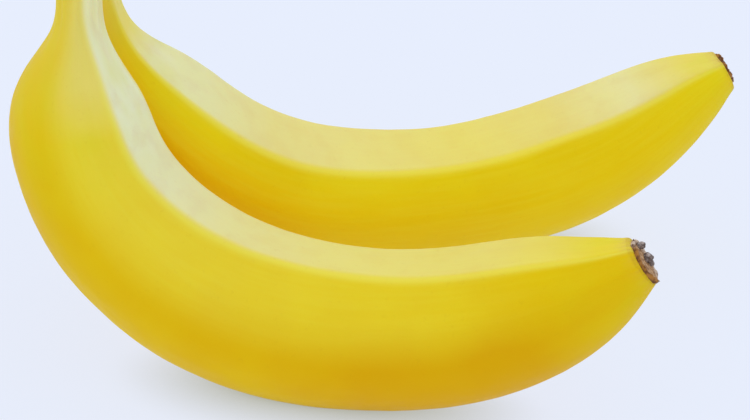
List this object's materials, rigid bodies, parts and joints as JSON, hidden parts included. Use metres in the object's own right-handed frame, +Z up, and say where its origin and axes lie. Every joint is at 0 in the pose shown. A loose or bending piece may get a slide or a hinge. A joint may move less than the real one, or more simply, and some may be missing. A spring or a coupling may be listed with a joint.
{
  "type": "pair of bananas",
  "caption": "Two ripe yellow bananas grown together and still joined at their crown, bodies spread in a V, resting on their bellies.",
  "frame": {"origin": "on the resting surface, under the middle of the pair's bounding box", "axes": "+Z up, +X from the stems towards the blossom ends, +Y from the front fruit towards the rear fruit"},
  "size_m": [0.1738, 0.113, 0.1139],
  "materials": {
    "ripe_skin": "satin, smooth waxy peel, ripe yellow",
    "dried_blossom": "matt, dry and ragged, dark brown"
  },
  "bodies": {
    "root": {"banana_pair": "ripe_skin", "blossom_end_front": "dried_blossom", "blossom_end_rear": "dried_blossom"}
  },
  "joints": []
}
